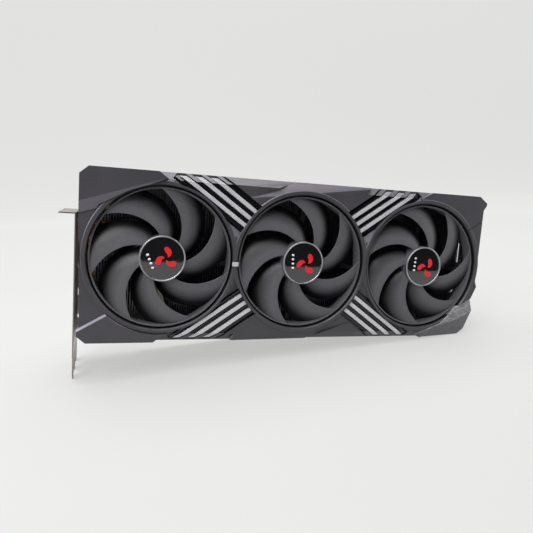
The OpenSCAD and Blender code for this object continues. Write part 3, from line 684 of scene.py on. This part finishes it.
def dome(r):
    """Height of the hub cap's face at radius r."""
    return CAP_EDGE + CAP_DOME * (1 - (r / CAP_R) ** 2)


def add_mark(bm, outline, turn, middle=(0, 0), steps=10):
    """A raised printed shape on the cap: outline(s) gives its two edges at s from 0 to 1."""
    cos, sin = math.cos(math.radians(turn)), math.sin(math.radians(turn))
    rows = []
    for i in range(steps + 1):
        row = []
        for x, y in outline(i / steps):
            u = (x + middle[0]) * cos - (y + middle[1]) * sin
            v = (x + middle[0]) * sin + (y + middle[1]) * cos
            top = dome(math.hypot(u, v))
            row += [bm.verts.new((u, v, top + MARK_T)), bm.verts.new((u, v, top - MARK_T))]
        rows.append(row)
    for a, b in zip(rows, rows[1:]):
        bm.faces.new((a[0], a[2], b[2], b[0]))
        bm.faces.new((a[1], b[1], b[3], a[3]))
        bm.faces.new((a[0], b[0], b[1], a[1]))
        bm.faces.new((a[2], a[3], b[3], b[2]))
    for row in (rows[0], rows[-1]):
        bm.faces.new((row[0], row[1], row[3], row[2]))


def petal(start):
    """One swept lobe of the pinwheel, from its narrow root to its tip."""
    root, length, sweep = 1.5, 6.7, 52
    least, swell = 4, 34

    def outline(s):
        r = root + length * s
        middle = start + sweep * s
        half = least + swell * math.sin(math.pi * (0.08 + 0.88 * s)) ** 0.9
        edges = (math.radians(middle - half * 0.5), math.radians(middle + half))
        return [(r * math.cos(a), r * math.sin(a)) for a in edges]

    return outline


def tick(place):
    """A short rounded bar."""
    length, half_width = 2.0, 0.75

    def outline(s):
        half = half_width * math.sqrt(max(0.02, 1 - (2 * s - 1) ** 6))
        x = place[0] + length * (s - 0.5)
        return [(x, place[1] - half), (x, place[1] + half)]

    return outline


def add_rotor(side):
    """The hub cup, the ring and the blades as one moulding."""
    bm = bmesh.new()
    hub = [
        (SHAFT_HOLE_R, HUB_FRONT), (SHAFT_HOLE_R, BOSS_BACK), (BOSS_R, BOSS_BACK), (BOSS_R, HUB_ROOF),
        (HUB_BORE_R, HUB_ROOF), (HUB_BORE_R, ROTOR_BACK), (HUB_R, ROTOR_BACK), (HUB_R, HUB_FRONT),
    ]
    ring = [
        (RING_R - RING_T, ROTOR_BACK), (RING_R, ROTOR_BACK),
        (RING_R, RING_FRONT), (RING_R - RING_T, RING_FRONT),
    ]
    lathe(bm, hub)
    lathe(bm, ring, 192)
    for k in range(BLADES):
        add_blade(bm, TURNS[side] + 360 * k / BLADES)
    replaced = [f"{side}_rotor"]
    finished(
        f"{side}_rotor_moulding", bm, rotor_plastic, f"{side}_fan", replaced, ROTOR_ROUND
    )


def add_cap(side):
    """The domed gloss cap that closes the hub."""
    bm = bmesh.new()
    radii = [CAP_R * k / CAP_RINGS for k in range(CAP_RINGS)]
    face = [(radius, dome(radius)) for radius in radii]
    edge = [
        (CAP_R - CAP_ROUND, dome(CAP_R) + 0.01), (CAP_R, dome(CAP_R) - CAP_ROUND),
        (CAP_R, HUB_FRONT), (0, HUB_FRONT),
    ]
    lathe(bm, face + edge, centre=True)
    finished(f"{side}_cap_disc", bm, cap_gloss, f"{side}_fan", [f"{side}_hub_cap"])


def add_bezel(side):
    """The thin silver rim round the cap."""
    bm = bmesh.new()
    crest = [(HUB_R - inset, height) for inset, height in BEZEL_CREST]
    inside = [(CAP_R + 0.04, 66.55), (CAP_R, BEZEL_EDGE)]
    lathe(bm, [(CAP_R, HUB_FRONT), (HUB_R, HUB_FRONT), (HUB_R, BEZEL_EDGE), *crest, *inside])
    finished(
        f"{side}_cap_bezel", bm, cap_ring_metal, f"{side}_fan", [f"{side}_cap_ring"]
    )


def add_marks(side):
    """A plain pinwheel and four ticks, printed on the cap."""
    turn = MARK_TURNS[side]
    bm = bmesh.new()
    for k in range(3):
        add_mark(bm, petal(30 + 120 * k), turn, (2.6, 0))
    finished(f"{side}_cap_pinwheel", bm, mark_red, f"{side}_fan")
    bm = bmesh.new()
    for k in range(4):
        add_mark(bm, tick((-9.4 + 0.5 * k, 4.8 - 3.2 * k)), turn + 8)
    finished(f"{side}_cap_ticks", bm, tick_white, f"{side}_fan")


for side in TURNS:
    add_rotor(side)
    add_cap(side)
    add_bezel(side)
    add_marks(side)

# ---------- studio ----------

# The card stands on its far lower corner and its bracket's tongues, so the floor is turned under it
FLOOR_TILT = math.radians(6.02)
FLOOR_AT = (mm(-59.5), 0, mm(-14))
WORLD_LIGHT, WORLD_SEEN = 0.06, 0.78
# The paper glows more further out: the distances between which its glow grows, and its two strengths
GLOW_REACH, PAPER_GLOW = (0.4, 1.8), (0.5, 0.69)


def floor_point(x, y, height=0.0):
    """The point x and y metres along the floor from the bracket's tongues, and height above it."""
    tilt = Matrix.Rotation(-FLOOR_TILT, 3, "Y")
    return Vector(FLOOR_AT) + tilt @ Vector((x, y, height))


def add_backdrop():
    """A pale seamless sweep: floor in front, a large curve, and a wall far behind."""
    front, wall, radius, top, half = -9.0, 3.4, 1.4, 3.2, 9.0
    steps = 16
    line = [(front, 0.0), (-1.0, 0.0), (0.6, 0.0), (wall - radius, 0.0)]
    for k in range(1, steps + 1):
        a = math.radians(90 * k / steps)
        line.append((wall - radius + radius * math.sin(a), radius * (1 - math.cos(a))))
    line.append((wall, top))
    bm = bmesh.new()
    rows = [[bm.verts.new(floor_point(x, y, z)) for y, z in line] for x in (-half, 0, half)]
    for a, b in zip(rows, rows[1:]):
        for k in range(len(line) - 1):
            bm.faces.new((a[k], b[k], b[k + 1], a[k + 1]))
    backdrop = add_object("backdrop", bm)
    shade_smooth(backdrop.data)
    paper = Finish("backdrop_paper", (0.14, 0.14, 0.139), 0.7)
    paper.tint(paper.noise(400, 2), 0.995, 1.005)
    paper.set("Emission Color", (1, 1, 0.99, 1))
    reach = paper.node("VectorMath", operation="LENGTH")
    paper.link(paper.stretched((1, 1, 0)), reach.inputs[0])
    glow = paper.remap(reach.outputs["Value"], *GLOW_REACH, *PAPER_GLOW)
    paper.link(glow, paper.shader.inputs["Emission Strength"])
    backdrop.data.materials.append(paper.material)


def add_light(name, place, aim, size, power):
    """A soft square light above the floor, aimed at a point."""
    data = bpy.data.lights.new(name, "AREA")
    data.shape = "RECTANGLE"
    data.size, data.size_y = size
    data.energy = power
    light = bpy.data.objects.new(name, data)
    scene.collection.objects.link(light)
    light.location = floor_point(*place)
    light.rotation_mode = "QUATERNION"
    light.rotation_quaternion = (floor_point(*aim) - light.location).to_track_quat("-Z", "Y")


def add_world():
    """Dim even light all round, with a pale backdrop beyond the paper."""
    world = bpy.data.worlds.new("studio")
    scene.world = world
    world.use_nodes = True
    tree = world.node_tree
    background = tree.nodes["Background"]
    background.inputs["Color"].default_value = (0.98, 0.98, 0.972, 1)
    rays = tree.nodes.new("ShaderNodeLightPath")
    strength = tree.nodes.new("ShaderNodeMapRange")
    strength.inputs["To Min"].default_value = WORLD_LIGHT
    strength.inputs["To Max"].default_value = WORLD_SEEN
    tree.links.new(rays.outputs["Is Camera Ray"], strength.inputs["Value"])
    tree.links.new(strength.outputs["Result"], background.inputs["Strength"])


def add_flag(name, left, right, low, high):
    """A black flag on the line from left to right, which keeps light off and the camera doesn't see."""
    bm = bmesh.new()
    corners = [(*left, low), (*right, low), (*right, high), (*left, high)]
    bm.faces.new([bm.verts.new(floor_point(*corner)) for corner in corners])
    flag = add_object(name, bm)
    cloth = Finish(name + "_cloth", (0.012, 0.012, 0.013), 0.9)
    cloth.tint(cloth.noise(3, 2), 0.8, 1.2)
    flag.data.materials.append(cloth.material)
    flag.visible_camera = False


add_backdrop()
add_flag("front_flag", (-0.7, -1.25), (0.5, -0.29), 0.0, 1.0)
add_light("top", (0.1, -0.1, 1.2), (0.16, -0.08, 0), (2.0, 1.4), 44)
add_light("front", (-0.9, -1.3, 1.3), (0.16, -0.06, 0.08), (0.9, 0.9), 24)
add_light("left", (-1.2, -0.35, 0.5), (0.1, -0.05, 0.08), (1.0, 1.0), 6)
add_light("right", (1.4, -0.3, 0.5), (0.2, -0.05, 0.08), (1.0, 1.0), 6)
add_world()
scene.view_settings.view_transform = "Standard"

# ---------- camera ----------

CAMERA_PLACE = (mm(-40.36), mm(-433.33), mm(124.36))
CAMERA_AZIMUTH = math.radians(17.56)
CAMERA_PITCH = math.radians(-7.45)
CAMERA_ROLL = math.radians(3.95)
CAMERA_LENS = 35.12

data = bpy.data.cameras.new("camera")
data.lens = CAMERA_LENS
data.sensor_width = 36
data.clip_start, data.clip_end = 0.01, 50
camera = bpy.data.objects.new("camera", data)
scene.collection.objects.link(camera)
camera.matrix_world = (
    Matrix.Translation(CAMERA_PLACE)
    @ Matrix.Rotation(-CAMERA_AZIMUTH, 4, "Z")
    @ Matrix.Rotation(math.pi / 2 + CAMERA_PITCH, 4, "X")
    @ Matrix.Rotation(CAMERA_ROLL, 4, "Z")
)
scene.camera = camera
